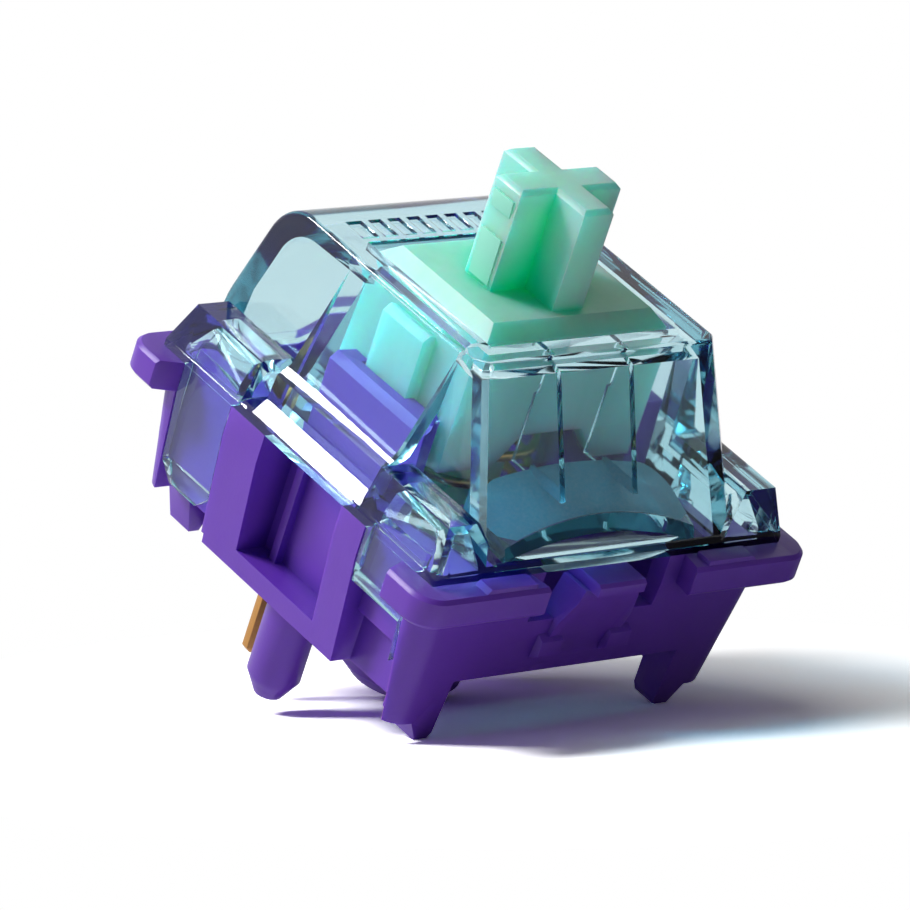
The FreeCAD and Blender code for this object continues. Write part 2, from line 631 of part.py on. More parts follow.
def top_housing():
    outside = [base_slab(), hood_outside()] + both_x(cheek(0)) + four_ways(corner_block(0))
    shell = fuse(outside)
    hollow = [hood_shape(HOOD_WALL, HOOD_ROOF)] + both_x(cheek(HOOD_WALL))
    hollow += four_ways(corner_block(HOOD_WALL))
    shell = shell.cut(fuse(hollow))
    lens, tunnel = light_lens()
    legs = []
    for centre, bottom in LEGS:
        legs += both_x(snap_leg(centre, bottom))
    shell = fuse([shell, lens] + both_x(face_rib()) + legs)
    half_x = STEM_HALF_X + OPENING_GAP
    half_y = STEM_HALF_Y + WELL_SOUTH_GAP
    opening = block(-half_x, half_x, -half_y, half_y, ROOF_UNDER_Z - 1, HOOD_TOP_Z + 1)
    label_y0 = half_y + LABEL_MARGIN
    label_y1 = RIM_NORTH_Y - HOOD_NORTH_R
    label_z = HOOD_TOP_Z - LABEL_DEPTH
    label = block(-half_x, half_x, label_y0, label_y1, label_z, HOOD_TOP_Z + 1)
    shell = shell.cut(Part.makeCompound([tunnel, opening, label]))
    pitch = 2 * half_x / (LABEL_RIBS + 1)
    ribs = []
    for n in range(LABEL_RIBS):
        x = -half_x + pitch * (n + 1)
        ribs.append(block(x - pitch / 6, x + pitch / 6, label_y0, label_y1, label_z, HOOD_TOP_Z))
    return fuse([shell] + ribs)


# Stem


def light_notch():
    """The notch at the foot of the stem's lamp-side wall."""
    low = SKIRT_BOTTOM_Z
    top = low + NOTCH_HEIGHT
    outline = [(-NOTCH_FOOT_HALF_X, low), (-NOTCH_TOP_HALF_X, top)]
    outline += [(NOTCH_TOP_HALF_X, top), (NOTCH_FOOT_HALF_X, low)]
    return prism(outline, "y", -STEM_HALF_Y, SKIRT_WALL - STEM_HALF_Y)


def stem():
    roof = block(-STEM_HALF_X, STEM_HALF_X, -STEM_HALF_Y, STEM_HALF_Y, STEM_UNDER_Z, STEM_TOP_Z)
    roof = roof.makeChamfer(STEM_EDGE, edges_at(roof, lambda p: near(p.z, STEM_TOP_Z)))
    skirt = block(-STEM_HALF_X, STEM_HALF_X, -STEM_HALF_Y, STEM_HALF_Y, SKIRT_BOTTOM_Z, STEM_UNDER_Z)
    hollow_x = STEM_HALF_X - SKIRT_WALL
    hollow_y = STEM_HALF_Y - SKIRT_WALL
    skirt = skirt.cut(block(-hollow_x, hollow_x, -hollow_y, hollow_y, SKIRT_BOTTOM_Z, STEM_UNDER_Z))
    skirt = skirt.cut(light_notch())
    cross_top = STEM_TOP_Z + CROSS_HEIGHT
    half = CROSS_SPAN / 2
    east_west = block(-half, half, -CROSS_Y_THICK / 2, CROSS_Y_THICK / 2, STEM_UNDER_Z, cross_top)
    north_south = block(-CROSS_X_THICK / 2, CROSS_X_THICK / 2, -half, half, STEM_UNDER_Z, cross_top)
    cross = fuse([east_west, north_south])
    cross = cross.makeChamfer(CROSS_EDGE, edges_at(cross, lambda p: near(p.z, cross_top)))
    pole = rod(POLE_R, 0, 0, POLE_TIP_Z, STEM_UNDER_Z + 0.5)
    pole = pole.makeChamfer(POLE_TIP, edges_at(pole, lambda p: near(p.z, POLE_TIP_Z)))
    reach = STEM_HALF_X + RAIL_REACH
    root = STEM_HALF_X - SKIRT_WALL / 2
    rail = block(root, reach, -RAIL_WIDTH / 2, RAIL_WIDTH / 2, SKIRT_BOTTOM_Z, RAIL_TOP_Z)
    top_edge = edges_at(rail, lambda p: near(p.z, RAIL_TOP_Z) and near(p.x, reach))
    rail = rail.makeChamfer(RAIL_REACH / 2, top_edge)
    swing = LEAF_SWING * (LEAF_FINGER_TOP_Z - LEAF_ROOT_Z) / TRAVEL
    tip = FINGER_Y - LEAF_THICK / 2 - CAM_GAP
    start_z = LEAF_FINGER_TOP_Z - LEAF_FINGER_BEND
    cam_low = tip - swing * (CAM_BOTTOM_Z - start_z)
    cam_high = tip - swing * (CAM_TOP_Z - start_z)
    face = STEM_HALF_Y - SKIRT_WALL / 2
    outline = [(face, CAM_BOTTOM_Z + CAM_RAMP), (cam_low - CAM_TOE, CAM_BOTTOM_Z)]
    outline += [(cam_low, CAM_BOTTOM_Z), (cam_high, CAM_TOP_Z), (face, CAM_TOP_Z)]
    cam = prism(outline, "x", CAM_X - CAM_WIDTH / 2, CAM_X + CAM_WIDTH / 2)
    return fuse([roof, skirt, cross, pole] + both_x(rail) + both_x(cam))


# Spring


def spring():
    """A coil of round wire from the floor of the lower housing to the underside of the stem."""
    radius = SPRING_WIRE / 2
    low = FLOOR_TOP_Z + radius
    height = STEM_UNDER_Z - FLOOR_TOP_Z - SPRING_WIRE
    helix = Part.makeHelix(height / SPRING_TURNS, height, SPRING_MEAN_R)
    helix.translate(V(0, 0, low))
    section = Part.Wire(Part.makeCircle(radius, V(SPRING_MEAN_R, 0, low), V(0, 1, 0)))
    return Part.Wire(helix).makePipeShell([section], True, True)


# Contacts


def contact_pin(x, y, top):
    half_x = CONTACT_PIN_WIDTH / 2
    shank = block(x - half_x, x + half_x, y - SHEET / 2, y + SHEET / 2, -CONTACT_PIN_LENGTH, top)
    tip = edges_at(shank, lambda p: near(p.z, -CONTACT_PIN_LENGTH) and near(abs(p.x - x), half_x))
    return shank.makeChamfer(min(CONTACT_PIN_TIP, half_x * 0.6), tip)


def fixed_contact():
    """Folded sheet: pin, shelf, strap and the upright tongue that faces the leaf."""
    half_pin = CONTACT_PIN_WIDTH / 2
    west = FIXED_PIN_X - half_pin
    east = FIXED_PIN_X + half_pin
    shelf_top = FLOOR_TOP_Z + SHEET
    shelf = block(west, east, FIXED_PIN_Y - SHEET / 2, FIXED_FACE_Y, FLOOR_TOP_Z, shelf_top)
    strap_top = FLOOR_TOP_Z + FIXED_STRAP_HEIGHT
    half = FIXED_TONGUE_WIDTH / 2
    strap = block(west, half, FIXED_PLATE_Y, FIXED_FACE_Y, FLOOR_TOP_Z, strap_top)
    upright = block(-half, half, FIXED_PLATE_Y, FIXED_FACE_Y, FLOOR_TOP_Z, FIXED_TONGUE_TOP_Z)
    corners = edges_at(upright, lambda p: near(p.z, FIXED_TONGUE_TOP_Z) and near(abs(p.x), half))
    upright = upright.makeFillet(half * 0.4, corners)
    return fuse([contact_pin(FIXED_PIN_X, FIXED_PIN_Y, shelf_top), shelf, strap, upright])


def moving_terminal():
    """The back plate that carries the leaf, with its pin."""
    y0 = MOVING_PIN_Y - SHEET / 2
    y1 = MOVING_PIN_Y + SHEET / 2
    band_half = MOVING_BAND_WIDTH / 2
    back_half = MOVING_BACK_WIDTH / 2
    band = block(-band_half, band_half, y0, y1, FLOOR_TOP_Z, FLOOR_TOP_Z + MOVING_BAND_HEIGHT)
    back = block(-back_half, back_half, y0, y1, FLOOR_TOP_Z, MOVING_BACK_TOP_Z)
    corners = edges_at(back, lambda p: near(p.z, MOVING_BACK_TOP_Z) and near(abs(p.x), back_half))
    back = back.makeChamfer(MOVING_BACK_WIDTH / 8, corners)
    return fuse([contact_pin(MOVING_PIN_X, MOVING_PIN_Y, FLOOR_TOP_Z), band, back])


def strip(path, x0, x1):
    """A bent strip: a centre line in the side view given the leaf's thickness."""
    half = LEAF_THICK / 2
    front = [(y - half, z) for y, z in path]
    back = [(y + half, z) for y, z in reversed(path)]
    return prism(front + back, "x", x0, x1)


def moving_leaf():
    """The thin forked leaf: a centre tongue with the contact, and two fingers on the stem's cams."""
    path = [(LEAF_AXIS_Y, LEAF_ROOT_Z), (LEAF_AXIS_Y, LEAF_KNEE_Z), (LEAF_REST_Y, POINT_Z - POINT_LONG / 2)]
    tongue_path = path + [(LEAF_REST_Y, LEAF_TONGUE_TOP_Z)]
    finger_low = LEAF_FINGER_TOP_Z - 2 * LEAF_FINGER_BEND
    finger_path = path + [(LEAF_REST_Y, finger_low), (FINGER_Y, LEAF_FINGER_TOP_Z - LEAF_FINGER_BEND)]
    finger_path += [(FINGER_Y, LEAF_FINGER_TOP_Z)]
    outer = CAM_X + CAM_WIDTH / 2
    inner = CAM_X - CAM_WIDTH / 2
    sheet = strip(finger_path, -outer, outer)
    half = LEAF_TONGUE_WIDTH / 2
    sheet = sheet.cut(block(-inner, inner, 0, CLEAR, LEAF_FORK_Z, CLEAR))
    middle = strip(tongue_path, -half, half)
    return fuse([sheet, middle])


def contact_bar(face_y, direction, half_x, half_z):
    """A small ridge-shaped contact bar on a sheet, pointing north or south."""
    if half_x > half_z:
        crest = (face_y + direction * POINT_SIZE, POINT_Z)
        ridge = [(face_y, POINT_Z - half_z), crest, (face_y, POINT_Z + half_z)]
        return prism(ridge, "x", -half_x, half_x)
    ridge = [(-half_x, face_y), (0, face_y + direction * POINT_SIZE), (half_x, face_y)]
    return prism(ridge, "z", POINT_Z - half_z, POINT_Z + half_z)


def fixed_point():
    return contact_bar(FIXED_FACE_Y, 1, POINT_LONG / 2, POINT_SHORT / 2)


def moving_point():
    return contact_bar(LEAF_REST_Y - LEAF_THICK / 2, -1, POINT_SHORT / 2, POINT_LONG / 2)


NODES = {
    "bottom_housing": bottom_housing,
    "top_housing": top_housing,
    "stem": stem,
    "spring": spring,
    "fixed_contact": fixed_contact,
    "fixed_contact_point": fixed_point,
    "moving_contact_terminal": moving_terminal,
    "moving_contact_leaf": moving_leaf,
    "moving_contact_point": moving_point,
}

for name, build in NODES.items():
    shape = build()
    print(name, "solids", len(shape.Solids), "valid", shape.isValid(), "volume", round(shape.Volume, 3))
    shape.exportStep("parts/" + name + ".step")
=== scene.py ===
import math

import bmesh
import bpy
from bpy.props import FloatProperty, FloatVectorProperty, IntProperty, PointerProperty
from mathutils import Matrix, Vector


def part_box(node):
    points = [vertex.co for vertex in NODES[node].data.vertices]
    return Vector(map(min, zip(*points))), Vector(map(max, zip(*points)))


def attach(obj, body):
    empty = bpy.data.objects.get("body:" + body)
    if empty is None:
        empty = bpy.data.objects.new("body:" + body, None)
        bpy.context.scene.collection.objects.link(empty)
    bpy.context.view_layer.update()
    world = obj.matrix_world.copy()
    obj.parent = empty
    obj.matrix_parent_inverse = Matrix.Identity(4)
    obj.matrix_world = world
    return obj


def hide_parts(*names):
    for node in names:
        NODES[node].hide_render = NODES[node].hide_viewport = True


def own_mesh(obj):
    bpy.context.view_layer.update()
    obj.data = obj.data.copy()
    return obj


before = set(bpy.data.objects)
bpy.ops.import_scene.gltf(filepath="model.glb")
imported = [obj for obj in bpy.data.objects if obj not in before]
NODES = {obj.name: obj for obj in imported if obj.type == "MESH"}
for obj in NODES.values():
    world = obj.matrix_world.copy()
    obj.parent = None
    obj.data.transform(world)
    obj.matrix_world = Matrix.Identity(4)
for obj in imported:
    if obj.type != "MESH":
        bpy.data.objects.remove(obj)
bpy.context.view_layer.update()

bl_info = {
    "name": "Keyboard Switch Dressing",
    "version": (1, 0, 0),
    "blender": (4, 5, 0),
    "location": "3D View > Sidebar > Switch",
    "description": "Finishes, spring and small moulded details for a keyboard switch",
    "category": "Object",
}

MM = 0.001
SPRING_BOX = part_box("spring")

# Rounding of the CAD nodes: the gap that joins loose triangles, and the angle that counts as an edge
WELD_GAP = 0.002 * MM
EDGE_ANGLE = math.radians(35)

# The frosted lens behind the sloping lamp face: its half width, its back, and its lowest and
# highest points
LENS_HALF_X = 3.83 * MM
LENS_BACK_Y = -3.8 * MM
LENS_LOW = 6.55 * MM
LENS_HIGH = 7.75 * MM
# The lamp face leans by this much y for each z. Its outer side is at FACE_Y at the height FACE_Z,
# and its wall is FACE_WALL thick along y. The frost starts a hair behind it.
FACE_SLOPE = 0.5446
FACE_Y = -6.95 * MM
FACE_Z = 6.0 * MM
FACE_WALL = 0.74 * MM
FROST_GAP = 0.03 * MM
FACE_INNER = FACE_Y + FACE_WALL - FACE_SLOPE * FACE_Z + FROST_GAP

# The cross: half its span, and the ledges on its end faces that grip a keycap. A ledge is rooted
# in the cross, and its lower end stands back by GRIP_LEAN of its height.
CROSS_HALF = 2.0 * MM
GRIP_HALF_Y = 0.47 * MM
GRIP_ROOT = 0.08 * MM
GRIP_EDGE = 0.02 * MM
GRIP_LEAN = 0.7
GRIP_LEVELS = ((12.0 * MM, 13.55 * MM), (14.3 * MM, 14.85 * MM))

# The flat underside of the lower housing, and the marks of the ejector pins. A mark stands proud
# by MARK_DEEP. The shares are of its radius for the ring and the step, and of its height for the dip.
UNDERSIDE = 0.2 * MM
MARK_DEEP = 0.03 * MM
MARK_RING = 0.18
MARK_STEP = 0.1
MARK_DIP = 0.7
MARK_PLACES = ((0.0, 3.6 * MM), (3.2 * MM, -2.0 * MM), (-3.2 * MM, -2.0 * MM))

# The spring: control points in each turn, and the rise of a closed turn in wire diameters
COIL_STEPS = 12
CLOSED_RISE = 1.05

# The camera and the floor as the photograph has them: the switch leans on its two lamp-side feet
# and the end of its centre post, so its floor is tilted against the switch's own upright
CAMERA_PLACE = Vector((-130.43, -123.97, 94.28)) * MM
CAMERA_RIGHT = Vector((0.7562, -0.5899, 0.2832))
CAMERA_UP = Vector((0.0858, 0.5184, 0.8508))
CAMERA_SENSOR = 36.0
CAMERA_LENS = 260.3
FLOOR_POINT = Vector((0, -6.3, 0)) * MM
FLOOR_UP = Vector((0, 0.447, 0.894)).normalized()
FLOOR_RADIUS = 0.8

# The paper fades from paper to plain white between these distances from the switch. It is this
# white for dull surfaces, for rays that see it in or through the switch, and for the camera,
# which also sees it white under the thin edge of the shadow.
FLOOR_FADE = (8 * MM, 22 * MM)
PAPER_LIT = 0.8
PAPER_MIRRORED = 0.9
PAPER_SHOWN = 2.0

# The room's own light on the switch, next to the 1 of the white that is seen. A ray that has met a
# dull surface finds a little less of that white.
ROOM_LEVEL = 0.08
AFTER_DULL = 0.8

# The studio is dark on the camera's right, where the lamp side of the switch looks: the way to that
# side, how far towards it a mirrored ray has to point, and how much light it finds there
DARK_SIDE = (0.65, -0.71, 0.28)
DARK_FROM = 0.6
DARK_LEVEL = 0.1

# Light crosses more walls of the clear housing than Blender's twelve bounces allow
BOUNCES = 40

# Each softbox: its direction in shares of the camera's right, away from the camera and up from the
# floor, its distance and size in metres, and its power in watts. All of them face AIM.
AIM = Vector((0, 0, 6 * MM))
SOFTBOXES = (
    ("Key softbox", (-0.66, -0.12, 0.74), 0.28, 0.08, 0.80),
    ("Top softbox", (-0.25, 0.0, 1.0), 0.30, 0.20, 0.04),
)


def linear(hex_colour):
    """An sRGB hex colour as linear red, green, blue and full alpha."""
    parts = [int(hex_colour[k:k + 2], 16) / 255 for k in (1, 3, 5)]
    return tuple(c / 12.92 if c <= 0.04045 else ((c + 0.055) / 1.055) ** 2.4 for c in parts) + (1.0,)


def grey(level):
    """A linear grey with full alpha."""
    return (level, level, level, 1.0)


def add_node(tree, kind, inputs, **settings):
    """Adds a shader node with its settings. Each input takes a value or another node's output."""
    node = tree.nodes.new(kind)
    for name, value in settings.items():
        setattr(node, name, value)
    for name, value in inputs.items():
        if isinstance(value, bpy.types.NodeSocket):
            tree.links.new(value, node.inputs[name])
        else:
            node.inputs[name].default_value = value
    return node


def new_material(name):
    """An empty node material and its node tree."""
    material = bpy.data.materials.new(name)
    material.use_nodes = True
    material.node_tree.nodes.clear()
    return material, material.node_tree


def wear(piece, material):
    """Gives a piece one material on all its faces."""
    piece.data.materials.clear()
    piece.data.materials.append(material)
    for face in piece.data.polygons:
        face.material_index = 0


def soften(piece, width):
    """Rounds the sharp edges of a CAD node by a moulding radius, over its loose triangles."""
    weld = piece.modifiers.new("Join triangles", "WELD")
    weld.merge_threshold = WELD_GAP
    edge = piece.modifiers.new("Moulded edge", "BEVEL")
    edge.width = width
    edge.segments = 2
    edge.limit_method = "ANGLE"
    edge.angle_limit = EDGE_ANGLE
    edge.miter_outer = "MITER_ARC"
    edge.use_clamp_overlap = True
    even = piece.modifiers.new("Even shading", "WEIGHTED_NORMAL")
    even.keep_sharp = True
    for face in piece.data.polygons:
        face.use_smooth = True


def only(piece):
    """Selects one object and makes it active."""
    bpy.ops.object.select_all(action="DESELECT")
    piece.select_set(True)
    bpy.context.view_layer.objects.active = piece


def settle(piece, name, body, material):
    """Applies a piece's place, names it, and lets it ride on its body."""
    only(piece)
    bpy.ops.object.transform_apply(location=True, rotation=True, scale=True)
    piece.name = name
    piece.data.name = name
    wear(piece, material)
    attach(piece, body)


# Finishes


def painted_corner_shade(tree, clouds, colours, reach, span):
    """A clouded skin colour with painted shade in its inner corners, blended in by an ambient occlusion
    mask.

    The colours are the skin's, the clouds' and the painted shade's. A corner is felt as far as
    reach, and span is the openness at which the painted shade is full and the one at which it is gone.
    """
    skin, deep, painted_shade_colour = colours
    clouded = add_node(tree, "ShaderNodeMix", {"Factor": clouds, "A": skin, "B": deep}, data_type="RGBA")
    # Painted shade: the occlusion mask finds inner corners, and the shade colour is blended into the skin
    # there
    corner = add_node(tree, "ShaderNodeAmbientOcclusion", {"Distance": reach}, samples=8, only_local=True)
    shade = add_node(tree, "ShaderNodeMapRange", {
        "Value": corner.outputs["AO"],
        "From Min": span[0], "From Max": span[1], "To Min": 1.0, "To Max": 0.0})
    tint = add_node(tree, "ShaderNodeMix", {
        "Factor": shade.outputs["Result"], "A": clouded.outputs["Result"], "B": painted_shade_colour}, data_type="RGBA")
    return tint.outputs["Result"]


def spark_textured_nylon(colours):
    """Nylon 66 lower housing, injection moulded in spark-eroded steel.

    The eye sees a satin skin with an even grain of about 0.06 mm, drawn here at 0.12 mm so that it
    shows. Light goes a little way in, and the inner corners are given painted shade, a deeper violet.
    """
    material, tree = new_material("Spark-textured violet nylon")
    place = add_node(tree, "ShaderNodeTexCoord", {}).outputs["Object"]
    cloud = add_node(tree, "ShaderNodeTexNoise", {"Vector": place, "Scale": 350.0, "Detail": 3.0})
    grain = add_node(tree, "ShaderNodeTexNoise", {"Vector": place, "Scale": 8300.0, "Detail": 2.0})
    gloss = add_node(tree, "ShaderNodeMapRange", {
        "Value": cloud.outputs["Fac"], "To Min": 0.34, "To Max": 0.46})
    bump = add_node(tree, "ShaderNodeBump", {
        "Height": grain.outputs["Fac"], "Strength": 0.35, "Distance": 0.01 * MM})
    shader = add_node(tree, "ShaderNodeBsdfPrincipled", {
        # The base colour carries painted shade: a deeper violet in the inner corners
        "Base Color": painted_corner_shade(tree, cloud.outputs["Fac"], colours, 0.9 * MM, (0.35, 0.85)),
        "Roughness": gloss.outputs["Result"],
        "IOR": 1.53,
        "Specular IOR Level": 0.4,
        "Subsurface Weight": 0.3,
        "Subsurface Radius": (0.5, 0.2, 1.0),
        "Subsurface Scale": 0.5 * MM,
        "Normal": bump.outputs["Normal"],
    })
    add_node(tree, "ShaderNodeOutputMaterial", {"Surface": shader.outputs["BSDF"]})
    return material


def lens_mask(tree, place):
    """1 on the frosted lens and inside it, and 0 on the rest of the clear housing."""
    spot = add_node(tree, "ShaderNodeSeparateXYZ", {"Vector": place}).outputs
    lean = add_node(tree, "ShaderNodeMath", {
        0: spot["Z"], 1: -FACE_SLOPE, 2: spot["Y"]}, operation="MULTIPLY_ADD")
    tests = (
        ("COMPARE", {0: spot["X"], 1: 0.0, 2: LENS_HALF_X}),
        ("COMPARE", {0: spot["Z"], 1: (LENS_HIGH + LENS_LOW) / 2, 2: (LENS_HIGH - LENS_LOW) / 2}),
        ("GREATER_THAN", {0: lean.outputs[0], 1: FACE_INNER}),
        ("LESS_THAN", {0: spot["Y"], 1: LENS_BACK_Y}),
    )
    frost = 1.0
    for test, inputs in tests:
        within = add_node(tree, "ShaderNodeMath", inputs, operation=test).outputs[0]
        frost = add_node(tree, "ShaderNodeMath", {0: frost, 1: within}, operation="MULTIPLY").outputs[0]
    return frost


def clear_polycarbonate(tint, frosted):
    """Polycarbonate upper housing, moulded in polished steel, with an aqua dye.

    The eye sees glass-clear walls that turn teal where the light runs a long way inside them. The
    sloping lens over the lamp is left frosted on top, with a dusty grain of about 0.1 mm. Its deep
    teal is partly the lens's own tint and partly painted shade for the dim inside seen through it.
    """
    material, tree = new_material("Clear aqua polycarbonate")
    place = add_node(tree, "ShaderNodeTexCoord", {}).outputs["Object"]
    frost = lens_mask(tree, place)
    flow = add_node(tree, "ShaderNodeTexNoise", {
        "Vector": place, "Scale": 260.0, "Detail": 2.0, "Distortion": 0.6})
    dust = add_node(tree, "ShaderNodeTexNoise", {"Vector": place, "Scale": 9000.0, "Detail": 2.0})
    gloss = add_node(tree, "ShaderNodeMapRange", {
        "Value": flow.outputs["Fac"], "To Min": 0.03, "To Max": 0.09})
    haze = add_node(tree, "ShaderNodeMapRange", {
        "Value": dust.outputs["Fac"], "To Min": 0.28, "To Max": 0.55})
    rough = add_node(tree, "ShaderNodeMix", {
        "Factor": frost, "A": gloss.outputs["Result"], "B": haze.outputs["Result"]}, data_type="FLOAT")
    height = add_node(tree, "ShaderNodeMix", {
        "Factor": frost, "A": flow.outputs["Fac"], "B": dust.outputs["Fac"]}, data_type="FLOAT")
    bump = add_node(tree, "ShaderNodeBump", {
        "Height": height.outputs["Result"], "Strength": 0.2, "Distance": 0.02 * MM})
    # The lens colour is partly its own teal and partly painted shade for the dim inside; dust specks lighten
    # it
    speck = add_node(tree, "ShaderNodeMix", {
        "Factor": dust.outputs["Fac"], "A": frosted, "B": linear("#6fb4cc")}, data_type="RGBA")
    clear = add_node(tree, "ShaderNodeMapRange", {"Value": frost, "To Min": 1.0, "To Max": 0.55})
    body = add_node(tree, "ShaderNodeMix", {
        "Factor": frost, "A": linear("#f2fdff"), "B": speck.outputs["Result"]}, data_type="RGBA")
    shader = add_node(tree, "ShaderNodeBsdfPrincipled", {
        "Base Color": body.outputs["Result"],
        "Roughness": rough.outputs["Result"],
        "IOR": 1.5,
        "Transmission Weight": clear.outputs["Result"],
        "Normal": bump.outputs["Normal"],
    })
    ray = add_node(tree, "ShaderNodeLightPath", {})
    through = add_node(tree, "ShaderNodeBsdfTransparent", {"Color": linear("#a8d2de")})
    walls = add_node(tree, "ShaderNodeMixShader", {
        0: ray.outputs["Is Shadow Ray"], 1: shader.outputs["BSDF"], 2: through.outputs["BSDF"]})
    depth = add_node(tree, "ShaderNodeVolumeAbsorption", {"Color": tint, "Density": 250.0})
    add_node(tree, "ShaderNodeOutputMaterial", {
        "Surface": walls.outputs["Shader"], "Volume": depth.outputs["Volume"]})
    return material


def moulded_acetal(name, colours, soak):
    """Acetal stem, moulded in smooth steel and left unpainted.

    The eye sees a waxy pale mint with faint flow lines along the travel. Light soaks in and comes
    back greener, and the well behind the cross and other inner corners are given painted shade, a
    deep green. A thin ledge holds little light of its own, so it is given no soak.
    """
    material, tree = new_material(name)
    place = add_node(tree, "ShaderNodeTexCoord", {}).outputs["Object"]
    stretch = add_node(tree, "ShaderNodeMapping", {"Vector": place, "Scale": (3.0, 3.0, 0.4)})
    flow = add_node(tree, "ShaderNodeTexNoise", {
        "Vector": stretch.outputs["Vector"], "Scale": 600.0, "Detail": 3.0})
    gloss = add_node(tree, "ShaderNodeMapRange", {
        "Value": flow.outputs["Fac"], "To Min": 0.28, "To Max": 0.42})
    bump = add_node(tree, "ShaderNodeBump", {
        "Height": flow.outputs["Fac"], "Strength": 0.12, "Distance": 0.02 * MM})
    shader = add_node(tree, "ShaderNodeBsdfPrincipled", {
        # The base colour carries painted shade: a deep green in the well and inner corners
        "Base Color": painted_corner_shade(tree, flow.outputs["Fac"], colours, 2.2 * MM, (0.45, 0.80)),
        "Roughness": gloss.outputs["Result"],
        "IOR": 1.48,
        "Subsurface Weight": soak,
        "Subsurface Radius": (0.1, 1.0, 0.65),
        "Subsurface Scale": 3.0 * MM,
        "Normal": bump.outputs["Normal"],
    })
    add_node(tree, "ShaderNodeOutputMaterial", {"Surface": shader.outputs["BSDF"]})
    return material


def rolled_metal(name, colour, stained, roughness, grain):
    """Rolled or drawn metal: fine lines along the grain, with a little tarnish.

    The roughness is the least and the most along the lines, and the grain is how much the lines
    are packed along x, y and z.
    """
    material, tree = new_material(name)
    place = add_node(tree, "ShaderNodeTexCoord", {}).outputs["Object"]
    stretch = add_node(tree, "ShaderNodeMapping", {"Vector": place, "Scale": grain})
    lines = add_node(tree, "ShaderNodeTexNoise", {
        "Vector": stretch.outputs["Vector"], "Scale": 5000.0, "Detail": 2.0})
    patches = add_node(tree, "ShaderNodeTexNoise", {"Vector": place, "Scale": 500.0, "Detail": 4.0})
    tint = add_node(tree, "ShaderNodeMix", {
        "Factor": patches.outputs["Fac"], "A": colour, "B": stained}, data_type="RGBA")
    skin = add_node(tree, "ShaderNodeMapRange", {
        "Value": lines.outputs["Fac"], "To Min": roughness[0], "To Max": roughness[1]})
    bump = add_node(tree, "ShaderNodeBump", {
        "Height": lines.outputs["Fac"], "Strength": 0.2, "Distance": 0.005 * MM})
    shader = add_node(tree, "ShaderNodeBsdfPrincipled", {
        "Base Color": tint.outputs["Result"],
        "Metallic": 1.0,
        "Roughness": skin.outputs["Result"],
        "Normal": bump.outputs["Normal"],
    })
    add_node(tree, "ShaderNodeOutputMaterial", {"Surface": shader.outputs["BSDF"]})
    return material


# Sizes and colours that a user would change


def length(name, description, millimetres):
    """A size in the panel."""
    return FloatProperty(name=name, description=description, default=millimetres * MM, unit="LENGTH")


def swatch(name, description, hex_colour):
    """A colour in the panel."""
    return FloatVectorProperty(
        name=name, description=description, size=4, subtype="COLOR", default=linear(hex_colour))


class SwitchSizes(bpy.types.PropertyGroup):
    nylon_edge: length("Lower housing edge", "Edge radius of the lower housing", 0.05)
    clear_edge: length("Upper housing edge", "Edge radius of the clear housing", 0.05)
    stem_edge: length("Stem edge", "Edge radius of the stem", 0.12)
    sheet_edge: length("Sheet edge", "Burr radius of the stamped sheets", 0.02)
    wire: length("Spring wire", "Diameter of the spring wire", 0.32)
    coil_radius: length("Coil radius", "Mean radius of the spring", 1.8)
    turns: IntProperty(name="Open turns", description="Open turns between the two closed ends", default=8)
    grip_proud: length("Grip ledge", "Height of the ledges that grip a keycap", 0.07)
    mark_radius: length("Ejector mark radius", "Radius of an ejector pin mark", 0.5)


class SwitchColours(bpy.types.PropertyGroup):
    nylon: swatch("Violet", "Lower housing", "#6e3cba")
    nylon_deep: swatch("Deep violet", "Clouding of the lower housing", "#6433ae")
    # Painted shade: the deeper violet blended into the inner corners of the lower housing
    nylon_painted_shade: swatch("Inner violet", "Inner corners of the lower housing", "#3f1894")
    clear: swatch("Aqua", "Dye of the clear housing", "#0ec2d2")
    # Partly the lens's own teal, partly painted shade for the dim inside seen through the lens
    frosted: swatch("Frosted teal", "Frosted top of the lens", "#0a9cc0")
    mint: swatch("Mint", "Stem", "#abeedb")
    mint_deep: swatch("Deep mint", "Flow lines of the stem", "#99e5cf")
    # Painted shade: the deep green blended into the well and inner corners of the stem
    mint_painted_shade: swatch("Inner green", "Well of the stem and its inner corners", "#00e4c0")
    brass: swatch("Brass", "Contact sheets and pins", "#d9a566")
    copper: swatch("Leaf copper", "Moving contact leaf", "#d8935c")
    gold: swatch("Gold", "Contact points", "#e6c25e")
    steel: swatch("Spring plating", "Copper flash on the spring wire", "#d8a066")


# Pieces


def pick(mesh, test):
    """In edit mode, selects only the vertices that pass a test, with the edges and faces between."""
    for part in (*mesh.faces, *mesh.edges, *mesh.verts):
        part.select = False
    for vertex in mesh.verts:
        vertex.select = test(vertex.co)
    mesh.select_flush(True)


